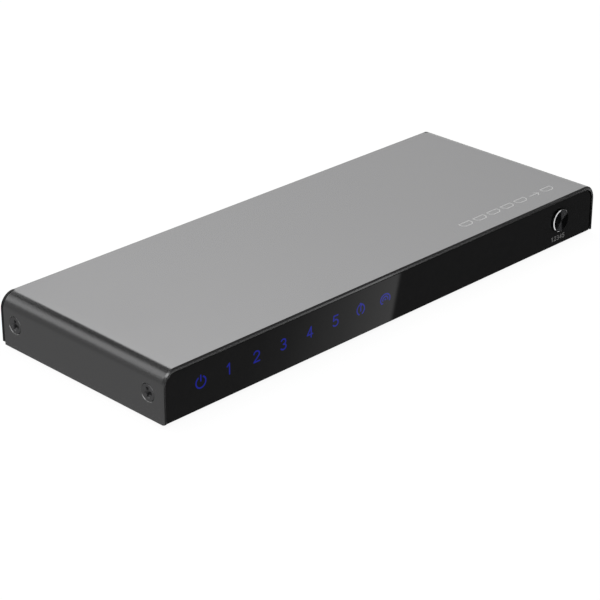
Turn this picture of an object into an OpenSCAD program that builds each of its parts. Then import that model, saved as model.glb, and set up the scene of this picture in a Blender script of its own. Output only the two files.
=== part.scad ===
// Desktop video switch box in a low sheet metal case: five sockets in, one out,
// chosen with a push button. It stands on its feet at z = 0, front towards -Y.

/* [Case] */
// Width of the cover
body_w = 199; // [190:1:240]
// Depth of the cover's top, from its front rim to the rear panel's outside
body_d = 74.4; // [72:0.2:100]
// Height of the cover without the feet
body_h = 17; // [16:0.1:24]
// Thickness of the cover's sheet
cover_t = 1.2; // [1:0.1:1.6]
// Outer radius of the cover's two bends
bend_r = 5.1; // [3:0.1:6]
// Chamfer round the cover's front rim
rim_chamfer = 0.5; // [0.1:0.05:0.6]
// Thickness of the tray's and the rear panel's sheet
sheet_t = 1; // [0.8:0.1:1.2]
// Outer radius of the tray's and the rear panel's bends
sheet_bend_r = 1.8; // [1.4:0.1:2.4]
// Gap between the cover and what slides into it
fit_gap = 0.15; // [0.1:0.05:0.3]

/* [Cover screws] */
// Thread diameter
screw_d = 3; // [2.5:0.1:3.2]
// Diameter of the countersunk head
screw_head_d = 5.7; // [5:0.1:6]
// Length over the head
screw_l = 5; // [4:0.5:6]
// Distance of a screw from the front or the rear
screw_inset = 6.6; // [6:0.1:9]
// Height of the screws above the underside
screw_z = 8.5; // [7.5:0.1:8.8]
// Radial gap round a screw
screw_gap = 0.05; // [0.02:0.01:0.1]
// Length of the threaded collar behind an ear
collar_l = 1.4; // [1:0.1:2]
// Diameter of the threaded collar
collar_d = 4.6; // [4.2:0.1:5]
// Width of the ear's sheet round the collar
ear_margin = 0.9; // [0.6:0.1:1.2]
// Width of a slot of the cross recess
cross_w = 0.7; // [0.5:0.1:0.9]
// Length of a slot of the cross recess
cross_l = 3; // [2.4:0.1:3.2]
// Depth of the cross recess
cross_depth = 1.1; // [0.8:0.1:1.3]

/* [Front panel] */
// Thickness of the acrylic panel
panel_t = 2; // [1.5:0.1:2.6]
// Setback of the panel behind the cover's rim
panel_inset = 0.3; // [0.1:0.05:0.6]
// Bevel round the panel's face
panel_bevel = 0.3; // [0.1:0.05:0.5]
// Thickness of the adhesive sheet behind the panel
tape_t = 0.2; // [0.1:0.05:0.4]
// Margin of the adhesive sheet inside the panel's edge
tape_margin = 0.6; // [0.4:0.1:1.5]

/* [Lamps] */
// Number of lamps
lamp_count = 8; // [4:1:8]
// Distance of the first lamp from the left end
lamp_first = 15; // [14:0.1:20]
// Distance from lamp to lamp
lamp_pitch = 11.2; // [9.5:0.1:12]
// Height of the lamps above the underside
lamp_z = 8.65; // [8:0.05:9.5]
// Width and height of a lamp's window
lamp_window = 6; // [5:0.1:7]
// Wall of the light mask round a window
mask_wall = 1.2; // [0.8:0.1:1.5]
// Depth of the light mask
mask_l = 5; // [4.4:0.1:6]
// Width of a lamp
lamp_w = 3.2; // [2.6:0.1:4]
// Depth of a lamp
lamp_l = 1.6; // [1.2:0.1:2]
// Height of a lamp
lamp_h = 1.9; // [1.4:0.1:2.4]
// Diameter of a lamp's lens
lamp_lens_d = 1.4; // [1:0.1:1.8]
// Height of a lamp's lens
lamp_lens_h = 0.4; // [0.2:0.1:0.6]

/* [Infrared receiver] */
// Width of the receiver
receiver_w = 5.6; // [5:0.1:7]
// Depth of the receiver
receiver_l = 3; // [2.4:0.1:3.6]
// Diameter of its lens
receiver_lens_d = 4.4; // [3.6:0.1:5]
// Diameter of the hole in front of it
receiver_hole_d = 5; // [4:0.1:6]

/* [Push button] */
// Diameter of the button
button_d = 8; // [7:0.1:8.6]
// Distance of the button from the right end
button_inset = 18.9; // [17:0.1:24]
// Height of the button above the underside
button_z = 9.1; // [8.8:0.1:9.6]
// How far the button stands out of the cover's rim
button_proud = 0.9; // [0.6:0.1:1.2]
// Travel of the button
button_travel = 0.5; // [0.3:0.05:0.7]
// Chamfer round the button's face
button_chamfer = 0.35; // [0.2:0.05:0.7]
// Radial gap round the button
button_gap = 0.2; // [0.15:0.05:0.3]
// Width of the lip that holds the button behind the front wall
button_lip = 0.8; // [0.6:0.1:1]
// Thickness of that lip
button_lip_t = 0.9; // [0.6:0.1:1.2]
// Gap between the lip and the front wall
button_rest_gap = 0.1; // [0.05:0.05:0.2]
// Diameter of the stem behind the lip
stem_d = 3; // [2:0.1:3.4]
// Length of the stem
stem_l = 1; // [0.8:0.1:1.6]

/* [Push switch] */
// Width of the switch
switch_w = 6; // [5.6:0.1:7]
// Depth of the switch
switch_l = 3.6; // [3.2:0.1:4.5]
// Diameter of its plunger
plunger_d = 3.4; // [3:0.1:3.8]
// Length of the plunger outside the switch
plunger_out = 1; // [0.9:0.1:1.4]
// Length of the plunger inside the switch
plunger_in = 1; // [0.6:0.1:1.2]
// Radial gap round the plunger
plunger_gap = 0.15; // [0.1:0.05:0.25]

/* [Circuit board] */
// Thickness of the board
board_t = 1.6; // [1.2:0.1:2]
// Height of the spacers under the board
spacer_h = 3; // [2.8:0.1:3.6]
// Width of a spacer across its flats
spacer_w = 5; // [4.5:0.1:6]
// Gap between the board and the case
board_gap = 0.7; // [0.5:0.1:1]
// Thread diameter of the board screws
board_screw_d = 2.5; // [2:0.1:3]
// Diameter of their heads
board_head_d = 4.6; // [4:0.1:5]
// Height of their heads
board_head_h = 1.6; // [1.2:0.1:2]
// Distance of the board screws from what stands next to them
board_screw_inset = 5; // [4:0.1:6]

/* [Rear panel] */
// Length of the foot flange
flange_l = 8; // [7:0.1:9]
// Number of flange screws
flange_screws_n = 3; // [2:1:4]
// Height of their heads
flange_head_h = 1; // [0.8:0.1:1.2]

/* [Video sockets] */
// Number of input sockets
input_count = 5; // [1:1:5]
// Distance of the first input from the right end
input_inset = 39.5; // [35:0.5:42]
// Distance from input to input
input_pitch = 24; // [18:0.5:24]
// Distance from the last input to the output
output_gap = 30; // [20:0.5:32]
// Width of the opening
socket_w = 14; // [13.5:0.05:14.5]
// Height of the opening
socket_h = 4.55; // [4.4:0.05:4.8]
// Bevel of the opening's lower corners
socket_bevel = 2; // [1.5:0.1:2.2]
// Thickness of the steel shell
socket_wall = 0.4; // [0.3:0.05:0.5]
// Length of the shell
socket_l = 11.5; // [10:0.1:13]
// How far the shell stands out of the rear panel
socket_proud = 0.9; // [0.8:0.1:1.6]
// Clearance round the shell in the rear panel
socket_clear = 0.65; // [0.5:0.05:0.8]
// Gap between the shell and the insulator in it
insulator_gap = 0.05; // [0.02:0.01:0.1]
// Length of the insulator's rear block
insulator_l = 3.4; // [3:0.1:4]
// Width of the tongue
tongue_w = 10.8; // [10.6:0.1:11.2]
// Thickness of the tongue
tongue_t = 1.4; // [1.2:0.1:1.6]
// Setback of the tongue behind the mouth
tongue_setback = 1.1; // [0.8:0.1:1.6]
// Chamfer of the tongue's tip
tongue_chamfer = 0.3; // [0.2:0.05:0.4]
// Distance from contact to contact in a row
contact_pitch = 1; // [0.95:0.01:1.02]
// Width of a contact
contact_w = 0.45; // [0.35:0.05:0.55]
// Thickness of a contact
contact_t = 0.12; // [0.08:0.02:0.2]

/* [Power jack] */
// Distance of the jack from the right end
jack_inset = 13.5; // [13:0.1:16]
// Width of the jack
jack_w = 9; // [8.4:0.1:10]
// Height of the jack
jack_h = 8.4; // [8:0.1:9]
// Depth of the jack's block
jack_l = 11.8; // [11:0.1:13]
// Outer diameter of the round nose
jack_nose_d = 7.8; // [7.4:0.1:8]
// How far the nose stands out of the rear panel
jack_proud = 0.3; // [0:0.1:0.8]
// Diameter of the bore
jack_bore_d = 6.4; // [6:0.1:6.6]
// Depth of the bore
jack_bore_l = 9.5; // [9:0.1:10]
// Diameter of the centre pin
jack_pin_d = 2; // [1.9:0.1:2.6]
// Setback of the centre pin behind the nose
jack_pin_setback = 1; // [0.5:0.1:2]
// Clearance round the nose in the rear panel
jack_clear = 0.4; // [0.3:0.05:0.6]
// Width of the side contact
jack_leaf_w = 2.4; // [2:0.1:3]
// Thickness of the side contact
jack_leaf_t = 0.3; // [0.2:0.05:0.4]

/* [Parts on the board] */
// Side of the video chip
chip_w = 14; // [12:0.5:16]
// Height of the video chip
chip_h = 1.4; // [1.2:0.1:1.8]
// Leads on each side of the video chip
chip_leads = 12; // [8:1:16]
// Centre of the video chip, sideways
chip_x = 12; // [8:0.5:16]
// Centre of the video chip, front to back
chip_y = 4; // [0:0.5:6]
// Side of the control chip
control_w = 7; // [6:0.5:8]
// Height of the control chip
control_h = 1.2; // [1:0.1:1.6]
// Leads on each side of the control chip
control_leads = 8; // [6:1:10]
// Centre of the control chip, sideways
control_x = -26; // [-30:0.5:-22]
// Centre of the control chip, front to back
control_y = -10; // [-12:0.5:-6]
// Length of a chip's leads
lead_l = 1; // [0.8:0.1:1.2]
// Width of a chip's leads
lead_w = 0.3; // [0.2:0.05:0.35]
// Thickness of a chip's leads
lead_t = 0.15; // [0.1:0.05:0.2]
// Length of the crystal
crystal_w = 11.4; // [10:0.1:12]
// Depth of the crystal
crystal_l = 4.7; // [4.2:0.1:5]
// Height of the crystal
crystal_h = 3.6; // [3:0.1:4]
// Centre of the crystal, sideways
crystal_x = -42; // [-46:0.5:-40]
// Diameter of a storage capacitor
capacitor_d = 6.3; // [5:0.1:7]
// Height of a storage capacitor
capacitor_h = 7.7; // [6:0.1:8]
// Distance of the capacitors from the right end of the board
capacitor_inset = 14; // [12:0.5:18]
// Side of the power coil
coil_w = 7; // [6:0.1:8]
// Height of the power coil
coil_h = 3.2; // [2.6:0.1:4]
// Height of the power coil's base
coil_base_h = 1; // [0.8:0.1:1.4]
// Diameter of the power coil's core
coil_core_d = 6.4; // [5:0.1:6.8]
// Distance of the power coil from the right end of the board
coil_inset = 30; // [26:0.5:34]

/* [Feet] */
// Diameter of a foot where it is stuck on
foot_d = 10; // [8:0.5:12]
// Diameter of a foot where it stands
foot_tip_d = 9; // [7:0.5:10]
// Height of a foot
foot_h = 1.2; // [1:0.1:3]
// Distance of the feet from the ends
foot_inset_x = 14; // [10:0.5:20]
// Distance of the feet from the front and the rear
foot_inset_y = 12; // [10:0.5:20]

/* [Hidden] */
$fn = 64;
over = 1;

floor_z = foot_h;
front_y = -body_d / 2;
rear_y = body_d / 2;
inner_w = body_w - 2 * (cover_t + fit_gap);
inner_h = body_h - cover_t - fit_gap;
inner_r = bend_r - cover_t - fit_gap;

panel_y = front_y + panel_inset;
tape_y = panel_y + panel_t;
wall_y = tape_y + tape_t;
wall_back = wall_y + sheet_t;
rear_in = rear_y - sheet_t;
end_back = rear_in - fit_gap;
top_half = body_w / 2 - bend_r;

tray_top = floor_z + sheet_t;
board_z = tray_top + spacer_h;
board_top = board_z + board_t;
board_front = wall_back + board_gap;
board_back = rear_in - board_gap;
board_half = body_w / 2 - screw_l - board_gap;

ear_h = collar_d + 2 * ear_margin;
screw_y = body_d / 2 - screw_inset;
ear_end = screw_y - collar_d / 2 - ear_margin;
head_h = (screw_head_d - screw_d) / 2;

lamp_x = [for (i = [0 : lamp_count - 1]) -body_w / 2 + lamp_first + i * lamp_pitch];
lamp_half = lamp_window / 2;
mask_back = wall_back + mask_l;
receiver_x = -body_w / 2 + lamp_first + lamp_count * lamp_pitch + lamp_half;

button_x = body_w / 2 - button_inset;
lip_y = wall_back + button_rest_gap;
lip_back = lip_y + button_lip_t;
plunger_y = lip_back + stem_l;
switch_y = plunger_y + plunger_out;
lip_d = button_d + 2 * button_lip;

socket_names = concat([for (i = [1 : input_count]) str("input_", i)], ["output"]);
input_x = [for (i = [0 : input_count - 1]) body_w / 2 - input_inset - i * input_pitch];
socket_x = concat(input_x, [input_x[input_count - 1] - output_gap]);
socket_z = board_top + socket_wall;
socket_mouth = rear_y + socket_proud;
socket_back = socket_mouth - socket_l;
tongue_z = socket_z + socket_h / 2;
tongue_y = socket_back + insulator_l;
tongue_tip = socket_mouth - tongue_setback;

jack_x = body_w / 2 - jack_inset;
jack_z = board_top + jack_h / 2;
jack_face = rear_in - fit_gap;
jack_back = jack_face - jack_l;
jack_mouth = rear_y + jack_proud;
jack_bottom = jack_mouth - jack_bore_l;

board_screw_x = board_half - board_screw_inset;
board_screw_y = [mask_back + board_screw_inset, jack_back - board_screw_inset];
flange_screw_x = [
    for (i = [0 : flange_screws_n - 1])
        (i / (flange_screws_n - 1) - 0.5) * 2 * board_screw_x
];
flange_screw_y = rear_in - flange_l / 2;

foot_names = ["foot_front_left", "foot_front_right", "foot_rear_left", "foot_rear_right"];
foot_x = body_w / 2 - foot_inset_x;
foot_y = body_d / 2 - foot_inset_y;
foot_places = [[-foot_x, -foot_y], [foot_x, -foot_y], [-foot_x, foot_y], [foot_x, foot_y]];

// Outline with a flat foot and two round upper corners
module arch(w, h, r) {
    translate([-w / 2, 0]) square([w, h - r]);
    translate([-w / 2 + r, 0]) square([w - 2 * r, h]);
    for (side = [-1, 1])
        translate([side * (w / 2 - r), h - r]) circle(r);
}

// Rectangle from the origin whose corner there is round
module round_corner(w, h, r) {
    translate([r, 0]) square([w - r, h]);
    translate([0, r]) square([w, h - r]);
    translate([r, r]) circle(r);
}

// Section of a sheet bent once, with the outside of its bend at the origin
module bent_section(w, h, t, r) {
    difference() {
        round_corner(w, h, r);
        translate([t, t]) round_corner(w, h, r - t);
    }
}

// Carries an upright outline from y0 to y1
module along_y(y0, y1) {
    translate([0, y1, 0]) rotate([90, 0, 0]) linear_extrude(y1 - y0) children();
}

// Carries an outline in the YZ plane across the case, centred on x = 0
module across_x(w) {
    rotate([90, 0, 90]) translate([0, 0, -w / 2]) linear_extrude(w) children();
}

// Round bar or bore along Y
module rod_y(x, z, d, y0, y1) {
    translate([x, y0, z]) rotate([-90, 0, 0]) cylinder(d = d, h = y1 - y0);
}

// Block from one corner to the other
module block(from, to) {
    translate(from) cube(to - from);
}

// Cutter that chamfers the front edge of an arch standing behind y = 0
module rim_cutter(w, h, r, c) {
    module section() polygon([[-c - over, -over], [over, -over], [over, c + over]]);
    translate([w / 2 - r, 0, h]) rotate([0, -90, 0]) linear_extrude(w - 2 * r) section();
    for (side = [0, 1]) mirror([side, 0, 0]) {
        translate([w / 2, 0, -over]) linear_extrude(h - r + over) section();
        translate([w / 2 - r, 0, h - r]) rotate([-90, 0, 0]) rotate([0, 0, -90])
            rotate_extrude(angle = 90) translate([r, 0]) section();
    }
}

// Outline of a socket's opening, grown by m, with bevelled lower corners
module socket_outline(m) {
    k = m * (sqrt(2) - 1);
    side = socket_w / 2 + m;
    foot = socket_w / 2 - socket_bevel + k;
    polygon([
        [-side, socket_h + m], [-side, socket_bevel - k], [-foot, -m],
        [foot, -m], [side, socket_bevel - k], [side, socket_h + m]
    ]);
}

// Puts a piece at each cover screw, with +Z pointing into the case
module at_cover_screws(ends = [-1, 1]) {
    for (side = [0, 1], end = ends) mirror([side, 0, 0])
        translate([body_w / 2, end * screw_y, floor_z + screw_z]) rotate([0, -90, 0]) children();
}

// Countersunk hole for a cover screw
module screw_sink() {
    translate([0, 0, -over])
        cylinder(d1 = screw_head_d + 2 * (over + screw_gap), d2 = screw_d + 2 * screw_gap, h = head_h + over);
    cylinder(d = screw_d + 2 * screw_gap, h = 2 * screw_l);
}

// Ears at both ends of a wall, with threaded collars for the cover screws
module ears(end, wall_face) {
    for (side = [-1, 1]) {
        x = side * inner_w / 2;
        block(
            [min(x, x - side * sheet_t), min(wall_face, end * ear_end), floor_z + screw_z - ear_h / 2],
            [max(x, x - side * sheet_t), max(wall_face, end * ear_end), floor_z + screw_z + ear_h / 2]
        );
    }
    at_cover_screws([end]) translate([0, 0, cover_t + fit_gap])
        cylinder(d = collar_d, h = sheet_t + collar_l);
}

// Bent cover: top and both ends in one sheet, notched so that its ends stop short of the rear panel
module top_cover() {
    color("#9b9b9d") difference() {
        along_y(front_y, rear_y) difference() {
            translate([0, floor_z]) arch(body_w, body_h, bend_r);
            translate([0, floor_z - over])
                arch(body_w - 2 * cover_t, body_h - cover_t + over, bend_r - cover_t);
        }
        translate([0, front_y, floor_z]) rim_cutter(body_w, body_h, bend_r, rim_chamfer);
        for (side = [0, 1]) mirror([side, 0, 0])
            block([top_half, end_back, floor_z - over], [body_w / 2 + over, rear_y + over, floor_z + body_h + over]);
        at_cover_screws() screw_sink();
    }
}

// Four countersunk screws through the ends of the cover
module cover_screws() {
    color("#3a3a3c") at_cover_screws() difference() {
        union() {
            cylinder(d1 = screw_head_d, d2 = screw_d, h = head_h);
            cylinder(d = screw_d, h = screw_l);
        }
        for (turn = [0, 90]) rotate(turn)
            translate([-cross_l / 2, -cross_w / 2, -over]) cube([cross_l, cross_w, over + cross_depth]);
    }
}

// Bottom sheet with its upturned front wall
module base_tray() {
    color("#2a2a2c") difference() {
        union() {
            intersection() {
                translate([0, wall_y, floor_z]) across_x(body_w)
                    bent_section(rear_y - wall_y, body_h, sheet_t, sheet_bend_r);
                along_y(wall_y - over, rear_y + over)
                    translate([0, floor_z - over]) arch(inner_w, inner_h + over, inner_r);
            }
            ears(-1, wall_y);
        }
        lamp_windows(wall_y - over, wall_back + over);
        rod_y(receiver_x, floor_z + lamp_z, receiver_hole_d, wall_y - over, wall_back + over);
        rod_y(button_x, floor_z + button_z, button_d + 2 * button_gap, wall_y - over, wall_back + over);
        at_cover_screws([-1]) screw_sink();
        for (x = flange_screw_x) translate([x, flange_screw_y, 0])
            cylinder(d = screw_d + 2 * screw_gap, h = tray_top + over);
    }
}

// Square holes in front of the lamps
module lamp_windows(y0, y1) {
    z = floor_z + lamp_z;
    for (x = lamp_x)
        block([x - lamp_half, y0, z - lamp_half], [x + lamp_half, y1, z + lamp_half]);
}

// Black acrylic front with a bevelled edge
module front_panel() {
    color("#121214") difference() {
        along_y(panel_y, tape_y) translate([0, floor_z]) arch(inner_w, inner_h, inner_r);
        translate([0, panel_y, floor_z]) rim_cutter(inner_w, inner_h, inner_r, panel_bevel);
        rod_y(button_x, floor_z + button_z, button_d + 2 * button_gap, panel_y - over, tape_y + over);
    }
}

// Adhesive sheet between the panel and the front wall
module panel_tape() {
    color("#303032") difference() {
        along_y(tape_y, wall_y) translate([0, floor_z + sheet_bend_r])
            arch(inner_w - 2 * tape_margin, inner_h - sheet_bend_r - tape_margin, inner_r - tape_margin);
        lamp_windows(tape_y - over, wall_y + over);
        rod_y(receiver_x, floor_z + lamp_z, receiver_hole_d, tape_y - over, wall_y + over);
        rod_y(button_x, floor_z + button_z, lip_d, tape_y - over, wall_y + over);
    }
}

// Rear sheet under the cover's top, with corners that fill the cover's notches, a bent foot flange
// and the cut-outs for the sockets
module rear_panel() {
    color("#2a2a2c") difference() {
        union() {
            along_y(rear_in, rear_y) difference() {
                translate([0, tray_top]) arch(body_w, body_h - sheet_t, bend_r);
                translate([-inner_w / 2, tray_top - over]) square([inner_w, sheet_bend_r + over]);
                translate([-top_half - fit_gap, floor_z + inner_h])
                    square([2 * (top_half + fit_gap), body_h - inner_h + over]);
            }
            translate([0, rear_y, tray_top]) mirror([0, 1, 0]) across_x(inner_w)
                bent_section(flange_l, 2 * sheet_bend_r, sheet_t, sheet_bend_r);
            ears(1, rear_y);
        }
        for (x = socket_x) along_y(rear_in - over, rear_y + over)
            translate([x, socket_z]) socket_outline(socket_wall + socket_clear);
        rod_y(jack_x, jack_z, jack_nose_d + 2 * jack_clear, rear_in - over, rear_y + over);
        at_cover_screws([1]) screw_sink();
        for (x = flange_screw_x) translate([x, flange_screw_y, 0])
            cylinder(d = screw_d + 2 * screw_gap, h = tray_top + sheet_t + over);
    }
}

// Low screws that hold the rear panel's flange down on the tray
module flange_screws() {
    color("#b8b8b8") for (x = flange_screw_x) translate([x, flange_screw_y, 0]) {
        translate([0, 0, floor_z]) cylinder(d = screw_d, h = 2 * sheet_t);
        translate([0, 0, tray_top + sheet_t]) cylinder(d = screw_head_d, h = flange_head_h);
    }
}

// Puts a piece at each board screw
module at_board_screws(z) {
    for (x = [-1, 1], y = board_screw_y) translate([x * board_screw_x, y, z]) children();
}

// Hexagonal spacers under the board
module board_spacers() {
    color("#c9b26a") at_board_screws(tray_top) difference() {
        cylinder(d = spacer_w / cos(30), h = spacer_h, $fn = 6);
        translate([0, 0, -over]) cylinder(d = board_screw_d + 2 * screw_gap, h = spacer_h + 2 * over);
    }
}

// Circuit board with a notch behind the button
module main_board() {
    notch = lip_d / 2 + board_gap;
    color("#1f5a34") difference() {
        block([-board_half, board_front, board_z], [board_half, board_back, board_top]);
        block(
            [button_x - notch, board_front - over, board_z - over],
            [button_x + notch, plunger_y, board_top + over]
        );
        at_board_screws(board_z - over) cylinder(d = board_screw_d + 2 * screw_gap, h = board_t + 2 * over);
    }
}

// Pan head screws that hold the board on its spacers
module board_screws() {
    color("#c0c0c2") at_board_screws(board_top) {
        cylinder(d = board_head_d, h = board_head_h);
        translate([0, 0, -board_t - spacer_h]) cylinder(d = board_screw_d, h = board_t + spacer_h);
    }
}

// Folded steel shell of a socket
module socket_shell(x) {
    color("#c8c8ca") along_y(socket_back, socket_mouth) translate([x, socket_z]) difference() {
        socket_outline(socket_wall);
        socket_outline(0);
    }
}

// Moulded rear block of a socket with the tongue that carries the contacts
module socket_insulator(x) {
    tip = tongue_tip - tongue_chamfer;
    half = tongue_t / 2;
    nose = half - tongue_chamfer;
    color("#161618") {
        along_y(socket_back, tongue_y) translate([x, socket_z]) socket_outline(-insulator_gap);
        translate([x, 0, tongue_z]) across_x(tongue_w)
            polygon([
                [tongue_y - over, -half], [tip, -half], [tongue_tip, -nose],
                [tongue_tip, nose], [tip, half], [tongue_y - over, half]
            ]);
    }
}

// Gold contacts on both faces of a tongue: one more above than below
module socket_contacts(x) {
    row = floor(tongue_w / contact_pitch);
    tip = tongue_tip - 2 * tongue_chamfer;
    color("#d9b04c") for (above = [0, 1]) {
        count = row - 1 + above;
        z = above ? tongue_z + tongue_t / 2 : tongue_z - tongue_t / 2 - contact_t;
        for (i = [0 : count - 1]) {
            at = x + (i - (count - 1) / 2) * contact_pitch;
            block([at - contact_w / 2, tongue_y, z], [at + contact_w / 2, tip, z + contact_t]);
        }
    }
}

// Moulded power jack with a round nose and a deep bore
module jack_housing() {
    leaf = jack_leaf_w / 2 + insulator_gap;
    color("#18181a") difference() {
        union() {
            block(
                [jack_x - jack_w / 2, jack_back, board_top],
                [jack_x + jack_w / 2, jack_face, board_top + jack_h]
            );
            rod_y(jack_x, jack_z, jack_nose_d, jack_back, jack_mouth);
        }
        rod_y(jack_x, jack_z, jack_bore_d, jack_bottom, jack_mouth + over);
        block(
            [jack_x - leaf, jack_bottom, jack_z - jack_bore_d / 2 - jack_leaf_t],
            [jack_x + leaf, jack_face, jack_z]
        );
    }
}

// Centre pin of the power jack
module jack_pin() {
    color("#d0d0d2") rod_y(jack_x, jack_z, jack_pin_d, jack_bottom, jack_mouth - jack_pin_setback);
}

// Side contact that lies in the floor of the jack's bore
module jack_leaf() {
    z = jack_z - jack_bore_d / 2 - jack_leaf_t;
    color("#d0c080") block(
        [jack_x - jack_leaf_w / 2, jack_bottom, z],
        [jack_x + jack_leaf_w / 2, jack_face - fit_gap, z + jack_leaf_t]
    );
}

// Turned metal button with a lip behind the wall and a stem to the switch
module select_button() {
    face = front_y - button_proud;
    r = button_d / 2;
    color("#4a4a4d") translate([button_x, 0, floor_z + button_z]) rotate([-90, 0, 0])
        rotate_extrude() polygon([
            [0, face], [r - button_chamfer, face], [r, face + button_chamfer],
            [r, lip_y], [lip_d / 2, lip_y], [lip_d / 2, lip_back],
            [stem_d / 2, lip_back], [stem_d / 2, plunger_y], [0, plunger_y]
        ]);
}

// Sliding pin of the push switch, which the button's stem presses
module switch_plunger() {
    color("#101012")
        rod_y(button_x, floor_z + button_z, plunger_d, plunger_y, switch_y + plunger_in);
}

// Right-angle push switch on the board behind the button
module select_switch() {
    z = floor_z + button_z;
    bore_end = switch_y + plunger_in + button_travel + button_gap;
    color("#202022") difference() {
        block(
            [button_x - switch_w / 2, switch_y, board_top],
            [button_x + switch_w / 2, switch_y + switch_l, z + switch_w / 2]
        );
        rod_y(button_x, z, plunger_d + 2 * plunger_gap, switch_y - over, bore_end);
    }
}

// Black comb that keeps each lamp's light in its own window
module light_mask() {
    z = floor_z + lamp_z + lamp_half;
    side = lamp_half + mask_wall;
    color("#1c1c1e") difference() {
        block(
            [lamp_x[0] - side, wall_back, board_top],
            [lamp_x[lamp_count - 1] + side, mask_back, z + mask_wall]
        );
        for (x = lamp_x) block(
            [x - lamp_half, wall_back - over, board_top - over],
            [x + lamp_half, mask_back - mask_wall, z]
        );
    }
}

// Row of blue lamps on the front edge of the board
module status_lamps() {
    y = mask_back - mask_wall - lamp_l;
    color("#4a6cff") for (x = lamp_x) {
        block([x - lamp_w / 2, y, board_top], [x + lamp_w / 2, y + lamp_l, board_top + lamp_h]);
        rod_y(x, board_top + lamp_h / 2, lamp_lens_d, y - lamp_lens_h, y);
    }
}

// Infrared receiver with a round lens behind its hole
module infrared_receiver() {
    y = board_front + receiver_lens_d / 2;
    z = floor_z + lamp_z;
    color("#241c2c") {
        block(
            [receiver_x - receiver_w / 2, y, board_top],
            [receiver_x + receiver_w / 2, y + receiver_l, z + receiver_w / 2]
        );
        translate([receiver_x, y, z]) sphere(d = receiver_lens_d);
    }
}

// Flat square chip with leads on its four sides
module flat_chip(x, y, w, h, leads) {
    pitch = (w - 2 * lead_l) / leads;
    step = h / 2;
    translate([x, y, board_top]) {
        translate([-w / 2, -w / 2, lead_t]) cube([w, w, h - lead_t]);
        for (turn = [0 : 90 : 270], i = [0 : leads - 1]) rotate(turn)
            translate([w / 2, (i - (leads - 1) / 2) * pitch + lead_w / 2, 0]) rotate([90, 0, 0])
                linear_extrude(lead_w) polygon([
                    [-lead_t, step], [lead_l / 2 - lead_t, step],
                    [lead_l / 2 - lead_t, 0], [lead_l, 0],
                    [lead_l, lead_t], [lead_l / 2, lead_t],
                    [lead_l / 2, step + lead_t], [-lead_t, step + lead_t]
                ]);
    }
}

// Chip that joins one of the inputs to the output
module video_chip() {
    color("#19191b") flat_chip(chip_x, chip_y, chip_w, chip_h, chip_leads);
}

// Chip that reads the button and the receiver and drives the lamps
module control_chip() {
    color("#19191b") flat_chip(control_x, control_y, control_w, control_h, control_leads);
}

// Clock crystal in a can with round ends
module crystal() {
    straight = crystal_w - crystal_l;
    color("#cfcfd2") translate([crystal_x, control_y, board_top]) {
        translate([-straight / 2, -crystal_l / 2, 0]) cube([straight, crystal_l, crystal_h]);
        for (side = [-1, 1])
            translate([side * straight / 2, 0, 0]) cylinder(d = crystal_l, h = crystal_h);
    }
}

// Two storage capacitors beside the power jack
module storage_capacitors() {
    color("#b9bcc4") for (side = [-1, 1])
        translate([board_half - capacitor_inset, side * capacitor_d, board_top])
            cylinder(d = capacitor_d, h = capacitor_h);
}

// Power coil: square base under a round core
module power_coil() {
    color("#4b4b4e") translate([board_half - coil_inset, 0, board_top]) {
        translate([-coil_w / 2, -coil_w / 2, 0]) cube([coil_w, coil_w, coil_base_h]);
        cylinder(d = coil_core_d, h = coil_h);
    }
}

// Rubber foot stuck under the tray
module foot(place) {
    color("#1a1a1a") translate(concat(place, [0]))
        cylinder(d1 = foot_tip_d, d2 = foot_d, h = foot_h);
}

top_cover();
cover_screws();
base_tray();
front_panel();
panel_tape();
rear_panel();
flange_screws();
board_spacers();
main_board();
board_screws();
for (i = [0 : len(socket_names) - 1]) {
    socket_shell(socket_x[i]);
    socket_insulator(socket_x[i]);
    socket_contacts(socket_x[i]);
}
jack_housing();
jack_pin();
jack_leaf();
select_button();
switch_plunger();
select_switch();
light_mask();
status_lamps();
infrared_receiver();
video_chip();
control_chip();
crystal();
storage_capacitors();
power_coil();
for (i = [0 : len(foot_names) - 1])
    foot(foot_places[i]);
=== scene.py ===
import bmesh
import bpy
import numpy as np
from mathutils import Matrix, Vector


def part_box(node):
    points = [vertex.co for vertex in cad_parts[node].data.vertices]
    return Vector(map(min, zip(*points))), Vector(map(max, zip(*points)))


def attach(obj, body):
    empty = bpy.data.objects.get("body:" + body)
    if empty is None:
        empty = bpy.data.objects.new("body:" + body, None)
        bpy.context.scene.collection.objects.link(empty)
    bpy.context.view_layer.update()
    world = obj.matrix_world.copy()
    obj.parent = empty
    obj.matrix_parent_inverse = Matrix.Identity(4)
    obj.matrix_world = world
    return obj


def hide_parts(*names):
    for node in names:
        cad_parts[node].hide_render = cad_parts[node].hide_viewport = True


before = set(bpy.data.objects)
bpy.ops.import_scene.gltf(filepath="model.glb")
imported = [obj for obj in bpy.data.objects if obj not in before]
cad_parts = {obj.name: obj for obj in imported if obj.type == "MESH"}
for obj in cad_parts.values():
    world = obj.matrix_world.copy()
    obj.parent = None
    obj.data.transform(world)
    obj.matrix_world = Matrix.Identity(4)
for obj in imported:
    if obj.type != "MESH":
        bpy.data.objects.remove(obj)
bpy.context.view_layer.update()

# Base tray: a steel sheet with its front edge turned up to carry the front panel.
# It is bent on a press, powder coated satin black, and forms the floor of the case.
MM = 0.001
TRAY_BLACK = (0.016, 0.016, 0.017)
TRAY_SHEEN = (0.026, 0.026, 0.027)
NOISE_LOW = 0.3
NOISE_HIGH = 0.7


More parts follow.
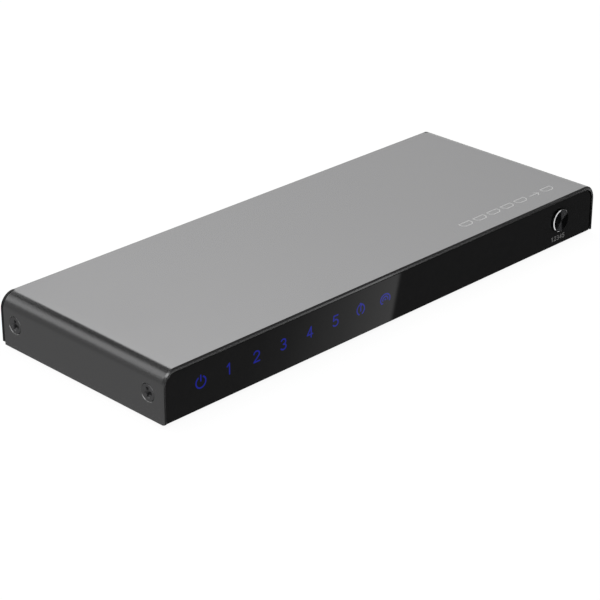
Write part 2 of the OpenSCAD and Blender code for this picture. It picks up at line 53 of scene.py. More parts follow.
def speckle_group():
    """Grain is fine noise and Cloud is broad noise, both read at a place on the surface."""
    group = bpy.data.node_groups.new("surface_speckle", "ShaderNodeTree")
    sockets = group.interface
    sockets.new_socket("Place", in_out="INPUT", socket_type="NodeSocketVector")
    sockets.new_socket("Grains", in_out="INPUT", socket_type="NodeSocketFloat")
    sockets.new_socket("Clouds", in_out="INPUT", socket_type="NodeSocketFloat")
    sockets.new_socket("Grain", in_out="OUTPUT", socket_type="NodeSocketFloat")
    sockets.new_socket("Cloud", in_out="OUTPUT", socket_type="NodeSocketFloat")
    entry = group.nodes.new("NodeGroupInput")
    leave = group.nodes.new("NodeGroupOutput")
    for count, output, detail in (("Grains", "Grain", 2.0), ("Clouds", "Cloud", 4.0)):
        noise = group.nodes.new("ShaderNodeTexNoise")
        noise.inputs["Detail"].default_value = detail
        group.links.new(entry.outputs["Place"], noise.inputs["Vector"])
        group.links.new(entry.outputs[count], noise.inputs["Scale"])
        group.links.new(noise.outputs["Fac"], leave.inputs[output])
    return group


SPECKLE = speckle_group()


def feed(tree, socket, value):
    """Gives a node's input its value, which is another node's output or a constant."""
    if isinstance(value, bpy.types.NodeSocket):
        tree.links.new(value, socket)
    else:
        socket.default_value = value


def mapped(tree, value, start, end, low, high):
    """A value carried over from the range of start to end to the range of low to high."""
    node = tree.nodes.new("ShaderNodeMapRange")
    bounds = {"Value": value, "From Min": start, "From Max": end, "To Min": low, "To Max": high}
    for name, bound in bounds.items():
        feed(tree, node.inputs[name], bound)
    return node.outputs["Result"]


def grained(name, dark, light, rough, grain, cloud, bump, metallic=0.0, ior=1.5):
    """Finish whose colour runs from dark to light with the grain, whose roughness drifts over the
    clouds, and whose surface rises by bump with the grain. Lengths are in metres."""
    material = bpy.data.materials.new(name)
    material.use_nodes = True
    tree = material.node_tree
    shader = tree.nodes["Principled BSDF"]
    shader.inputs["Metallic"].default_value = metallic
    shader.inputs["IOR"].default_value = ior
    place = tree.nodes.new("ShaderNodeTexCoord")
    speckle = tree.nodes.new("ShaderNodeGroup")
    speckle.node_tree = SPECKLE
    speckle.inputs["Grains"].default_value = 1 / grain
    speckle.inputs["Clouds"].default_value = 1 / cloud
    tree.links.new(place.outputs["Object"], speckle.inputs["Place"])
    tone = tree.nodes.new("ShaderNodeValToRGB")
    tone.color_ramp.elements[0].position = NOISE_LOW
    tone.color_ramp.elements[0].color = (*dark, 1)
    tone.color_ramp.elements[1].position = NOISE_HIGH
    tone.color_ramp.elements[1].color = (*light, 1)
    tree.links.new(speckle.outputs["Grain"], tone.inputs["Fac"])
    tree.links.new(tone.outputs["Color"], shader.inputs["Base Color"])
    drift = mapped(tree, speckle.outputs["Cloud"], NOISE_LOW, NOISE_HIGH, *rough)
    tree.links.new(drift, shader.inputs["Roughness"])
    relief = tree.nodes.new("ShaderNodeBump")
    relief.inputs["Distance"].default_value = bump
    tree.links.new(speckle.outputs["Grain"], relief.inputs["Height"])
    tree.links.new(relief.outputs["Normal"], shader.inputs["Normal"])
    return material


def dress(material, *names):
    """Gives solids of the frame their finish."""
    for name in names:
        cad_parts[name].material_slots[0].material = material


tray_coat = grained(
    "tray_coat", dark=TRAY_BLACK, light=TRAY_SHEEN, rough=(0.38, 0.46),
    grain=0.35 * MM, cloud=9 * MM, bump=0.004 * MM,
)
dress(tray_coat, "base_tray")

# Rubber feet: four moulded black discs, stuck under the corners of the tray.
# Each is a turned shape with a soft standing edge and a shallow dish in its standing face.
FOOT_EDGE = 0.35 * MM
FOOT_DISH = 0.12 * MM
FOOT_TAPER = 0.5 * MM
DISH_FLOOR = 0.55
DISH_BRIM = 0.62
MERGE_DIGITS = 7
SHARP_ANGLE = np.radians(32)
RUBBER_DARK = (0.011, 0.011, 0.011)
RUBBER_PALE = (0.021, 0.021, 0.020)


def grid_quads(rows, columns):
    """Quads between neighbouring points of a grid, whose last column joins its first."""
    row, column = np.mgrid[0:rows - 1, 0:columns]
    here = row * columns + column
    right = row * columns + (column + 1) % columns
    return np.stack([here, right, right + columns, here + columns], axis=-1).reshape(-1, 4)


def joined(*surfaces):
    """Several surfaces of points and quads as one."""
    starts = np.cumsum([0] + [len(points) for points, quads in surfaces[:-1]])
    points = np.concatenate([points for points, quads in surfaces])
    return points, np.concatenate([quads + start for (_, quads), start in zip(surfaces, starts)])


def turned(profile, origin, axis, steps=64):
    """A profile of (radius, height) pairs turned about an axis through origin: each pair becomes a
    ring of that radius, at that height along the axis."""
    profile = np.asarray(profile)
    axis = np.asarray(axis, float)
    side = np.roll(axis, 1)
    other = np.cross(axis, side)
    angle = np.linspace(0, 2 * np.pi, steps, endpoint=False)[:, None]
    ring = np.cos(angle) * side + np.sin(angle) * other
    points = profile[:, None, :1] * ring + profile[:, None, 1:] * axis + np.asarray(origin)
    return points.reshape(-1, 3), grid_quads(len(profile), steps)


def add_piece(name, surface, material, slot, body, *stands_for):
    """Joins the surface's like points, makes a quad with two like corners a triangle, drops one that
    is only a line, turns the faces outwards, and hands the piece to its body."""
    points, quads = surface
    points, like = np.unique(np.round(points, MERGE_DIGITS), axis=0, return_inverse=True)
    quads = like.reshape(-1)[quads]
    folded = quads == np.roll(quads, -1, axis=1)
    folds = folded.sum(axis=1)
    triangles = quads[folds == 1][~folded[folds == 1]].reshape(-1, 3)
    mesh = bpy.data.meshes.new(name)
    mesh.from_pydata(points, [], quads[folds == 0].tolist() + triangles.tolist())
    shell = bmesh.new()
    shell.from_mesh(mesh)
    bmesh.ops.recalc_face_normals(shell, faces=shell.faces)
    shell.to_mesh(mesh)
    shell.free()
    mesh.shade_smooth()
    mesh.set_sharp_from_angle(angle=SHARP_ANGLE)
    mesh.materials.append(material)
    piece = bpy.data.objects.new(name, mesh)
    bpy.context.scene.collection.objects.link(piece)
    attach(piece, body)
    if stands_for:
        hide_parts(*stands_for)


def rounded(corner, start, end, radius, count=5):
    """Points of a round between two edges that meet at a corner: corner plus radius times one less the
    arc's sine along the first edge, and one less its cosine along the second."""
    corner, start, end = (np.asarray(v, float) for v in (corner, start, end))
    into = (start - corner) / np.linalg.norm(start - corner)
    out = (end - corner) / np.linalg.norm(end - corner)
    turn = np.linspace(0, np.pi / 2, count)[:, None]
    return corner + radius * ((1 - np.sin(turn)) * into + (1 - np.cos(turn)) * out)


rubber = grained(
    "foot_rubber", dark=RUBBER_DARK, light=RUBBER_PALE, rough=(0.6, 0.75),
    grain=0.25 * MM, cloud=3 * MM, bump=0.01 * MM,
)
for foot in ("foot_front_left", "foot_front_right", "foot_rear_left", "foot_rear_right"):
    low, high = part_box(foot)
    centre = (low + high) / 2
    radius = (high.x - low.x) / 2
    height = high.z - low.z
    tip = radius - FOOT_TAPER
    profile = np.vstack([
        [(0, FOOT_DISH), (DISH_FLOOR * tip, FOOT_DISH), (DISH_BRIM * tip, 0)],
        rounded((tip, 0), (0, 0), (radius, height), FOOT_EDGE),
        [(radius, height), (0, height)],
    ])
    foot_shape = turned(profile, (centre.x, centre.y, low.z), (0, 0, 1))
    add_piece(foot + "_rubber", foot_shape, rubber, "foot_rubber", "housing", foot)

# Circuit board: green laminate on four hexagonal brass spacers, held down by bright pan head screws.
# Copper tracks show through the solder mask as slightly paler lines.
MASK_DARK = (0.004, 0.045, 0.014)
MASK_TRACK = (0.010, 0.100, 0.034)
TRACK_PITCH = 1.3 * MM
TRACK_SHARE = 0.05
TRACK_RUN = 4.0

laminate = grained(
    "board_laminate", dark=MASK_DARK, light=MASK_TRACK, rough=(0.25, 0.38),
    grain=0.2 * MM, cloud=6 * MM, bump=0.002 * MM,
)
tracks = laminate.node_tree.nodes.new("ShaderNodeTexBrick")
tracks.inputs["Scale"].default_value = 1 / TRACK_PITCH
tracks.inputs["Color1"].default_value = (*MASK_DARK, 1)
tracks.inputs["Color2"].default_value = (*MASK_DARK, 1)
tracks.inputs["Mortar"].default_value = (*MASK_TRACK, 1)
tracks.inputs["Mortar Size"].default_value = TRACK_SHARE
tracks.inputs["Brick Width"].default_value = TRACK_RUN
track_place = laminate.node_tree.nodes.new("ShaderNodeTexCoord")
laminate.node_tree.links.new(track_place.outputs["Object"], tracks.inputs["Vector"])
laminate.node_tree.links.new(
    tracks.outputs["Color"], laminate.node_tree.nodes["Principled BSDF"].inputs["Base Color"]
)
brass = grained(
    "spacer_brass", dark=(0.50, 0.36, 0.13), light=(0.62, 0.46, 0.19), rough=(0.25, 0.35),
    grain=0.1 * MM, cloud=2 * MM, bump=0.001 * MM, metallic=1.0,
)
zinc = grained(
    "bright_zinc", dark=(0.50, 0.50, 0.51), light=(0.62, 0.62, 0.63), rough=(0.2, 0.32),
    grain=0.15 * MM, cloud=2 * MM, bump=0.001 * MM, metallic=1.0,
)
dress(laminate, "main_board")
dress(brass, "board_spacers")
dress(zinc, "board_screws", "flange_screws")

# Parts on the board: two moulded chips, a drawn crystal can, two storage capacitors and a ferrite coil.
# All are soldered on; the chips' epoxy is matt and the cans are plain drawn metal.
epoxy = grained(
    "chip_epoxy", dark=(0.009, 0.009, 0.010), light=(0.018, 0.018, 0.019), rough=(0.5, 0.62),
    grain=0.12 * MM, cloud=2 * MM, bump=0.003 * MM,
)
drawn_can = grained(
    "drawn_can", dark=(0.52, 0.52, 0.54), light=(0.64, 0.64, 0.66), rough=(0.22, 0.34),
    grain=0.2 * MM, cloud=1.5 * MM, bump=0.001 * MM, metallic=1.0,
)
ferrite = grained(
    "coil_ferrite", dark=(0.045, 0.045, 0.047), light=(0.085, 0.085, 0.088), rough=(0.55, 0.7),
    grain=0.15 * MM, cloud=1.5 * MM, bump=0.006 * MM,
)
dress(epoxy, "video_chip", "control_chip")
dress(drawn_can, "crystal", "storage_capacitors")
dress(ferrite, "power_coil")

# Lamps, light mask, receiver and switch: moulded parts along the board's front edge.
# The mask is black so that each lamp lights its own icon only.
moulded = grained(
    "moulded_black", dark=(0.010, 0.010, 0.011), light=(0.020, 0.020, 0.021), rough=(0.42, 0.55),
    grain=0.2 * MM, cloud=4 * MM, bump=0.004 * MM,
)
lamp_resin = grained(
    "lamp_resin", dark=(0.010, 0.030, 0.45), light=(0.025, 0.060, 0.65), rough=(0.08, 0.15),
    grain=0.3 * MM, cloud=1 * MM, bump=0.0005 * MM,
)
dark_resin = grained(
    "receiver_resin", dark=(0.014, 0.008, 0.022), light=(0.026, 0.016, 0.038), rough=(0.08, 0.14),
    grain=0.3 * MM, cloud=2 * MM, bump=0.0005 * MM,
)
dress(moulded, "light_mask", "select_switch", "switch_plunger")
dress(lamp_resin, "status_lamps")
dress(dark_resin, "infrared_receiver")

# Video sockets: five inputs and one output. Each has a folded, nickel-plated steel shell round a moulded
# tongue with gold contacts. The shell's lower corners are bevelled so that the plug goes in one way up.
SOCKETS = ("input_1", "input_2", "input_3", "input_4", "input_5", "output")
SHELL_WALL = 0.4 * MM
SHELL_BEVEL = 2.0 * MM
SHELL_CORNER = 0.45 * MM
LEAF_W = 2.2 * MM
LEAF_L = 5.0 * MM
LEAF_BOW = 0.35 * MM
LEAF_T = 0.15 * MM
LEAF_INSET = 1.4 * MM
LEAF_APART = 3.4 * MM


def bevelled_ring(width, height, grow, count=6):
    """Outline of a socket's opening grown by grow: each corner, set in by the corner radius, plus an
    arc whose radius is the corner radius plus grow and whose normals run from edge to edge."""
    half = width / 2
    r = SHELL_CORNER
    normals = np.radians([0, 90, 180, 225, 270, 315])
    slant = (half - SHELL_BEVEL) / np.sqrt(2)
    edges = np.array([half, height, half, slant, 0, slant])
    across = np.stack([np.cos(normals), np.sin(normals)], axis=-1)
    after = np.roll(across, -1, axis=0)
    edge_pairs = np.stack([across, after], axis=1)
    away = np.stack([edges - r, np.roll(edges - r, -1)], axis=-1)
    corners = np.linalg.solve(edge_pairs, away[..., None])[..., 0]
    spread = (np.roll(normals, -1) - normals) % (2 * np.pi)
    angle = normals[:, None] + spread[:, None] * np.linspace(0, 1, count)
    bow = (r + grow) * np.stack([np.cos(angle), np.sin(angle)], axis=-1)
    return (corners[:, None, :] + bow).reshape(-1, 2)


def shell_surface(low, high):
    """The opening's outline carried along a path of (growth, depth) pairs: out along the outside,
    round the mouth, and back along the inside."""
    width = high.x - low.x - 2 * SHELL_WALL
    height = high.z - low.z - 2 * SHELL_WALL
    lip = SHELL_WALL / 2
    turn = np.linspace(0, np.pi, 9)
    mouth = np.stack([lip + lip * np.cos(turn), high.y - lip + lip * np.sin(turn)], axis=-1)
    path = np.vstack([[(SHELL_WALL, low.y)], mouth, [(0, low.y), (SHELL_WALL, low.y)]])
    rings = np.stack([bevelled_ring(width, height, grow) for grow in path[:, 0]])
    depth = np.broadcast_to(path[:, None, 1:], rings.shape[:2] + (1,))
    flat = np.concatenate([rings[..., :1], depth, rings[..., 1:]], axis=-1)
    origin = ((low.x + high.x) / 2, 0, low.z + SHELL_WALL)
    return (flat + origin).reshape(-1, 3), grid_quads(len(path), rings.shape[1])


def leaf_surface(x, y, z, rise):
    """A spring leaf along Y: a thin box section whose height follows half a sine wave of its length."""
    along = np.linspace(0, 1, 17)[:, None]
    bow = rise * LEAF_BOW * np.sin(np.pi * along)
    side = LEAF_W / 2 * np.array([-1, 1, 1, -1])
    thick = LEAF_T / 2 * np.array([-1, -1, 1, 1])
    points = np.stack(np.broadcast_arrays(x + side, y + LEAF_L * along, z + bow + thick), axis=-1)
    ends = np.stack([points[0].mean(axis=0, keepdims=True).repeat(4, 0),
                     points[-1].mean(axis=0, keepdims=True).repeat(4, 0)])
    points = np.concatenate([ends[:1], points, ends[1:]])
    return points.reshape(-1, 3), grid_quads(len(points), 4)


nickel = grained(
    "shell_nickel", dark=(0.50, 0.49, 0.47), light=(0.60, 0.59, 0.57), rough=(0.2, 0.3),
    grain=0.12 * MM, cloud=2.5 * MM, bump=0.0008 * MM, metallic=1.0,
)
gold = grained(
    "contact_gold", dark=(0.72, 0.48, 0.15), light=(0.84, 0.60, 0.24), rough=(0.16, 0.26),
    grain=0.1 * MM, cloud=1 * MM, bump=0.0005 * MM, metallic=1.0,
)
for socket in SOCKETS:
    low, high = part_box(socket + "_shell")
    middle = (low.x + high.x) / 2
    leaf_y = high.y - LEAF_INSET - LEAF_L
    floor_z = low.z + SHELL_WALL + LEAF_T / 2
    roof_z = high.z - SHELL_WALL - LEAF_T / 2
    leaves = [leaf_surface(middle + side * LEAF_APART, leaf_y, z, rise)
              for side in (-1, 1) for z, rise in ((floor_z, 1), (roof_z, -1))]
    socket_shape = joined(shell_surface(low, high), *leaves)
    add_piece(socket + "_folded_shell", socket_shape, nickel, "socket_steel", "housing", socket + "_shell")
    dress(moulded, socket + "_insulator")
    dress(gold, socket + "_contacts")

# Power jack: a moulded housing with a round nose, a turned centre pin and a sprung side contact.
# The pin is nickel plated and has a domed tip.
PIN_DOME = 0.7 * MM
dress(moulded, "jack_housing")
dress(gold, "jack_leaf")
low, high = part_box("jack_pin")
pin_r = (high.x - low.x) / 2
dome = np.linspace(0, np.pi / 2, 9)
pin_profile = np.vstack([
    [(0, low.y), (pin_r, low.y)],
    np.stack([pin_r * np.cos(dome), high.y - PIN_DOME + PIN_DOME * np.sin(dome)], axis=-1),
])
pin_shape = turned(pin_profile, ((low.x + high.x) / 2, 0, (low.z + high.z) / 2), (0, 1, 0), steps=32)
add_piece("jack_pin_turned", pin_shape, nickel, "jack_metal", "housing", "jack_pin")

# Rear panel: a bent sheet with a cut-out for each socket, coated like the tray and screwed to it
# by its foot flange.
dress(tray_coat, "rear_panel")

# Front panel: a polished black acrylic strip, stuck on the tray's front wall with thin black foam.
# Its face is almost optically flat; only faint wiping marks change its gloss.
ACRYLIC_DEEP = (0.0255, 0.0255, 0.0260)
ACRYLIC_PALE = (0.0280, 0.0280, 0.0285)
acrylic = grained(
    "front_acrylic", dark=ACRYLIC_DEEP, light=ACRYLIC_PALE, rough=(0.010, 0.015),
    grain=2 * MM, cloud=14 * MM, bump=0.00002 * MM, ior=1.49,
)
foam = grained(
    "tape_foam", dark=(0.02, 0.02, 0.02), light=(0.04, 0.04, 0.04), rough=(0.7, 0.85),
    grain=0.2 * MM, cloud=3 * MM, bump=0.01 * MM,
)
dress(acrylic, "front_panel")
dress(foam, "panel_tape")

# Lit icons: clear places left in the panel's black print, one in front of each lamp, which glow blue.
# They are a power sign, the five input numbers, a turning arrow and a signal sign.
STROKE = 0.48 * MM
ICON_LIFT = 0.02 * MM
STROKE_STEP = 0.1
ICON_H = 3.45 * MM
ICON_GLOW = (0.0105, 0.0135, 0.185)
GLOW_DIM = 0.85
LAMP_W = 3.2 * MM
SIGN_Z = 10.05 * MM


def arc(x, z, rx, rz, start, end, count=18):
    """Points of an ellipse's arc about (x, z), from one angle to another in degrees."""
    angle = np.radians(np.linspace(start, end, count))
    return np.stack([x + rx * np.cos(angle), z + rz * np.sin(angle)], axis=-1)


def lines(*points):
    """One straight stroke for each pair of neighbouring points."""
    ends = np.asarray(points, float)
    step = np.linspace(0, 1, 6)[:, None]
    return [a + (b - a) * step for a, b in zip(ends[:-1], ends[1:])]


def ribbon(path, width, lift, face_y):
    """A flat stroke with round ends: the path's points, less and plus the half width along its
    normal, which shrinks to nothing at the ends as the chord of a circle does."""
    way = np.gradient(path, axis=0)
    way /= np.linalg.norm(way, axis=1, keepdims=True)
    half = width / 2
    cap = np.linspace(0, np.pi / 2, 6)
    head = path[0] - way[0] * half * np.cos(cap)[:, None]
    tail = path[-1] + way[-1] * half * np.sin(cap)[:, None]
    middle = np.concatenate([head, path[1:-1], tail])
    along = np.concatenate([way[:1].repeat(len(cap), 0), way[1:-1], way[-1:].repeat(len(cap), 0)])
    wide = np.concatenate([half * np.sin(cap), np.full(len(path) - 2, half), half * np.cos(cap)])
    normal = np.stack([-along[:, 1], along[:, 0]], axis=-1) * wide[:, None]
    corners = np.stack([middle - normal, middle + normal, middle + normal, middle - normal], axis=1)
    y = np.broadcast_to(face_y + lift * np.array([-1, -1, 1, 1]), corners.shape[:2])
    points = np.stack([corners[..., 0], y, corners[..., 1]], axis=-1)
    ends = points[[0, -1]].mean(axis=1, keepdims=True).repeat(4, 1)
    points = np.concatenate([ends[:1], points, ends[1:]])
    return points.reshape(-1, 3), grid_quads(len(points), 4)


DIGITS = {
    1: lines((-0.20, 0.28), (0.05, 0.5), (0.05, -0.5)),
    2: [arc(0, 0.21, 0.33, 0.29, 165, -35), *lines((0.27, 0.044), (-0.33, -0.5), (0.35, -0.5))],
    3: [arc(-0.02, 0.25, 0.28, 0.25, 150, -90), arc(-0.02, -0.25, 0.32, 0.25, 90, -150)],
    4: lines((0.16, -0.5), (0.16, 0.5), (-0.32, -0.22), (0.34, -0.22)),
    5: [*lines((0.29, 0.5), (-0.22, 0.5), (-0.27, 0.05)), arc(-0.02, -0.19, 0.34, 0.31, 130, -145)],
}
POWER_SIGN = [arc(0, -0.06, 0.56, 0.53, 122, 418, 30), *lines((0, 0.06), (0, 0.58))]
TURNING_SIGN = [
    arc(0, 0, 0.48, 0.5, 75, 245), arc(0, 0, 0.48, 0.5, -65, 75),
    *lines((0.0, 0.30), (0.14, 0.50), (-0.08, 0.62)), *lines((0, -0.14), (0, 0.16)),
]
SIGNAL_SIGN = [
    arc(0, -0.08, 0.62, 0.52, -25, 205), arc(0, -0.08, 0.34, 0.28, -15, 195),
    *lines((-0.06, -0.1), (0.06, -0.1)), *lines((-0.5, -0.42), (-0.34, -0.42)),
]


def sign_surface(sign, centre, height, width, face_y, lift=ICON_LIFT):
    """A sign's strokes at a height about a centre. Each stroke lies a little prouder of the face than
    the one before, so that crossing strokes don't share a face."""
    return joined(*(
        ribbon(np.asarray(centre) + height * stroke, width, lift * (1 + STROKE_STEP * n), face_y)
        for n, stroke in enumerate(sign)
    ))


def glowing(name, colour):
    """Finish that gives off light of its own, a little uneven as behind a print."""
    dim = [GLOW_DIM * c for c in colour]
    material = grained(
        name, dark=dim, light=colour, rough=(0.03, 0.05),
        grain=0.5 * MM, cloud=2 * MM, bump=0.00002 * MM,
    )
    tree = material.node_tree
    shader = tree.nodes["Principled BSDF"]
    tree.links.new(tree.nodes["Color Ramp"].outputs["Color"], shader.inputs["Emission Color"])
    shader.inputs["Emission Strength"].default_value = 1.0
    return material


panel_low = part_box("front_panel")[0]
lamps_low, lamps_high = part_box("status_lamps")
signs = [POWER_SIGN, *DIGITS.values(), TURNING_SIGN, SIGNAL_SIGN]
sign_x = np.linspace(lamps_low.x + LAMP_W / 2, lamps_high.x - LAMP_W / 2, len(signs))
icons = [sign_surface(sign, (x, SIGN_Z), ICON_H, STROKE, panel_low.y) for x, sign in zip(sign_x, signs)]
glow = glowing("icon_glow", ICON_GLOW)
add_piece("lit_icons", joined(*icons), glow, "lamp_blue", "housing")

# Select button: turned from metal bar. Its face keeps the lathe's fine rings and is dark anodised,
# its chamfer is cut bright afterwards. It slides through the panel and presses the switch behind.
RING_PITCH = 0.2 * MM
RING_SLOPE = np.radians(20)
BUTTON_R = 4.0 * MM
BUTTON_CHAMFER = 0.22 * MM
LIP_FRONT = -33.6 * MM
LIP_BACK = -32.7 * MM
STEM_R = 1.5 * MM
FACE_BORDER = 0.05 * MM
CUT_MARGIN = 0.01 * MM
DARK_ANODISED = (0.050, 0.050, 0.053)
BRIGHT_CUT = (0.80, 0.80, 0.81)

button_low, button_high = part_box("select_button")
button_x = (button_low.x + button_high.x) / 2
button_z = (button_low.z + button_high.z) / 2
lip_r = (button_high.x - button_low.x) / 2
face_r = BUTTON_R - BUTTON_CHAMFER
ring_r = np.arange(0, face_r - FACE_BORDER, RING_PITCH / 2)
ring_y = button_low.y + RING_PITCH / 2 * np.tan(RING_SLOPE) * (np.arange(len(ring_r)) % 2)
button_profile = np.vstack([
    np.stack([ring_r, ring_y], axis=-1),
    [(face_r, button_low.y), (BUTTON_R, button_low.y + BUTTON_CHAMFER)],
    [(BUTTON_R, LIP_FRONT), (lip_r, LIP_FRONT), (lip_r, LIP_BACK)],
    [(STEM_R, LIP_BACK), (STEM_R, button_high.y), (0, button_high.y)],
])
button_shape = turned(button_profile, (button_x, 0, button_z), (0, 1, 0), steps=128)


def combine(tree, kind, operation, *values):
    """The outputs of a math node, whose inputs are other nodes' outputs or constants."""
    node = tree.nodes.new(kind)
    node.operation = operation
    for socket, value in zip(node.inputs, values):
        feed(tree, socket, value)
    return node.outputs


def button_metal():
    """Dark anodised metal, bright where the chamfer is cut: there the distance from the button's axis is
    past the face's edge, and the place lies ahead of the chamfer's rear edge."""
    material = grained(
        "button_metal", dark=DARK_ANODISED, light=BRIGHT_CUT, rough=(0.16, 0.22),
        grain=0.1 * MM, cloud=1 * MM, bump=0.0002 * MM, metallic=1.0,
    )
    tree = material.node_tree
    place = tree.nodes["Texture Coordinate"].outputs["Object"]
    from_axis = combine(tree, "ShaderNodeVectorMath", "SUBTRACT", place, (button_x, 0, button_z))["Vector"]
    across = combine(tree, "ShaderNodeVectorMath", "MULTIPLY", from_axis, (1, 0, 1))["Vector"]
    reach = combine(tree, "ShaderNodeVectorMath", "LENGTH", across)["Value"]
    outer = combine(tree, "ShaderNodeMath", "GREATER_THAN", reach, face_r - CUT_MARGIN)["Value"]
    parts = tree.nodes.new("ShaderNodeSeparateXYZ")
    tree.links.new(from_axis, parts.inputs["Vector"])
    cut_end = button_low.y + BUTTON_CHAMFER
    ahead = combine(tree, "ShaderNodeMath", "LESS_THAN", parts.outputs["Y"], cut_end)["Value"]
    cut = combine(tree, "ShaderNodeMath", "MULTIPLY", outer, ahead)["Value"]
    tone = tree.nodes["Color Ramp"]
    tone.color_ramp.elements[0].position = 0.0
    tone.color_ramp.elements[1].position = 1.0
    tree.links.new(cut, tone.inputs["Fac"])
    return material


add_piece("select_button_turned", button_shape, button_metal(), "button_metal", "button", "select_button")

# Select mark: the numbers 1 to 5, which the button steps through, printed small below it.
# The ink is a matt grey one, laid on the panel's face through a screen.
MARK_H = 1.5 * MM
MARK_STROKE = 0.25 * MM
MARK_Z = 3.7 * MM
MARK_PITCH = 1.5 * MM
MARK_DARK = (0.42, 0.42, 0.42)
MARK_PALE = (0.48, 0.48, 0.48)
mark_ink = grained(
    "mark_ink", dark=MARK_DARK, light=MARK_PALE, rough=(0.4, 0.5),
    grain=0.2 * MM, cloud=1 * MM, bump=0.0005 * MM,
)
marks = [
    sign_surface(digit, (button_x + (n - 3) * MARK_PITCH, MARK_Z), MARK_H, MARK_STROKE, panel_low.y)
    for n, digit in DIGITS.items()
]
add_piece("select_mark", joined(*marks), mark_ink, "panel_acrylic", "housing")

# Top cover: one metal sheet bent down at both ends, with a fine-grained satin coat of metallic grey.
# Its front rim is chamfered, and each end has two countersunk holes for the screws that close the case.
COVER_T = 1.2 * MM
BEND_R = 5.1 * MM
RIM_CHAMFER = 0.5 * MM
SOFT_EDGE = 0.12 * MM
INNER_EDGE = 0.03 * MM
END_SETBACK = 1.15 * MM
SCREW_INSET = 6.6 * MM
SCREW_Z = 9.7 * MM
SINK_R = 2.98 * MM
SINK_EDGE = 0.06 * MM
HOLE_PATCH = 3.3 * MM
PATCH_CELLS = 10
COVER_DARK = (0.345, 0.345, 0.348)
COVER_PALE = (0.375, 0.375, 0.378)

cover_low, cover_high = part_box("top_cover")
half_w = cover_high.x
front_y, back_y = cover_low.y, cover_high.y
screw_y = back_y - SCREW_INSET


def cover_path():
    """Stations of the sheet's outer line, from foot to foot: a point, its outward normal, how far the
    section is drawn in there, and how far back it runs. The bends are quarter circles about the inner
    corners. Two stations stand where a bend ends, since the top runs further back than the ends."""
    bend_x, bend_z = half_w - BEND_R, cover_high.z - BEND_R
    rise = np.concatenate([
        [cover_low.z, cover_low.z, cover_low.z + SOFT_EDGE],
        np.linspace(SCREW_Z - HOLE_PATCH, SCREW_Z + HOLE_PATCH, PATCH_CELLS + 1),
    ])
    turn = np.radians(np.linspace(180, 90, 25))
    wall = np.stack([np.full_like(rise, -half_w), rise], axis=-1)
    bend = np.stack([-bend_x + BEND_R * np.cos(turn), bend_z + BEND_R * np.sin(turn)], axis=-1)
    top_x = np.linspace(-bend_x, 0, 25)
    top = np.stack([top_x, np.full_like(top_x, cover_high.z)], axis=-1)
    left = np.concatenate([wall, bend, top])
    normal = np.concatenate([
        np.tile((-1.0, 0.0), (len(wall), 1)),
        np.stack([np.cos(turn), np.sin(turn)], axis=-1),
        np.tile((0.0, 1.0), (len(top), 1)),
    ])
    drawn = np.zeros(len(left))
    drawn[0] = COVER_T / 2
    drawn[1] = SOFT_EDGE
    reach = np.full(len(left), back_y)
    reach[:len(wall) + len(bend)] -= END_SETBACK
    flip = np.array([-1, 1])
    return (np.concatenate([left, left[-2::-1] * flip]), np.concatenate([normal, normal[-2::-1] * flip]),
            np.concatenate([drawn, drawn[-2::-1]]), np.concatenate([reach, reach[-2::-1]]))


def cover_section():
    """The sheet's section as (depth, y) pairs: the outside from front to rear, the soft rear rim, the
    inside back to the front, and the chamfered front rim."""
    block = np.linspace(-HOLE_PATCH, HOLE_PATCH, PATCH_CELLS + 1)
    between = np.linspace(-screw_y + HOLE_PATCH, screw_y - HOLE_PATCH, 13)[1:-1]
    along = np.concatenate([
        [front_y + RIM_CHAMFER], block - screw_y, between, block + screw_y,
        [back_y - END_SETBACK, back_y - SOFT_EDGE],
    ])
    outside = np.stack([np.zeros_like(along), along], axis=-1)
    inside = np.stack([np.full_like(along, COVER_T), along[::-1]], axis=-1)
    rear = np.array([(SOFT_EDGE, back_y), (COVER_T - SOFT_EDGE, back_y)])
    front = np.array([
        (COVER_T, front_y + INNER_EDGE), (COVER_T - INNER_EDGE, front_y), (RIM_CHAMFER, front_y),
    ])
    return np.concatenate([outside, rear, inside, front])


def cover_sheet():
    """The section carried along the path: each point lies its depth inside the outer line, along the
    normal. At a foot the section is drawn in to a soft edge and then to its middle line. The squares
    round the screw holes are left open."""
    path, normal, drawn, reach = cover_path()
    section = cover_section()
    draw = drawn[:, None]
    depth = np.clip(section[None, :, 0], draw, COVER_T - draw)
    soft = np.minimum(draw, SOFT_EDGE)
    y = np.clip(section[None, :, 1], front_y + soft, reach[:, None] - soft)
    flat = path[:, None, :] - depth[..., None] * normal[:, None, :]
    points = np.stack([flat[..., 0], y, flat[..., 1]], axis=-1).reshape(-1, 3)
    quads = grid_quads(len(path), len(section))
    middle = points[quads].mean(axis=1)
    beside = np.abs(np.abs(middle[:, 1]) - screw_y) < HOLE_PATCH
    level = np.abs(middle[:, 2] - SCREW_Z) < HOLE_PATCH
    return points, quads[~(beside & level)]


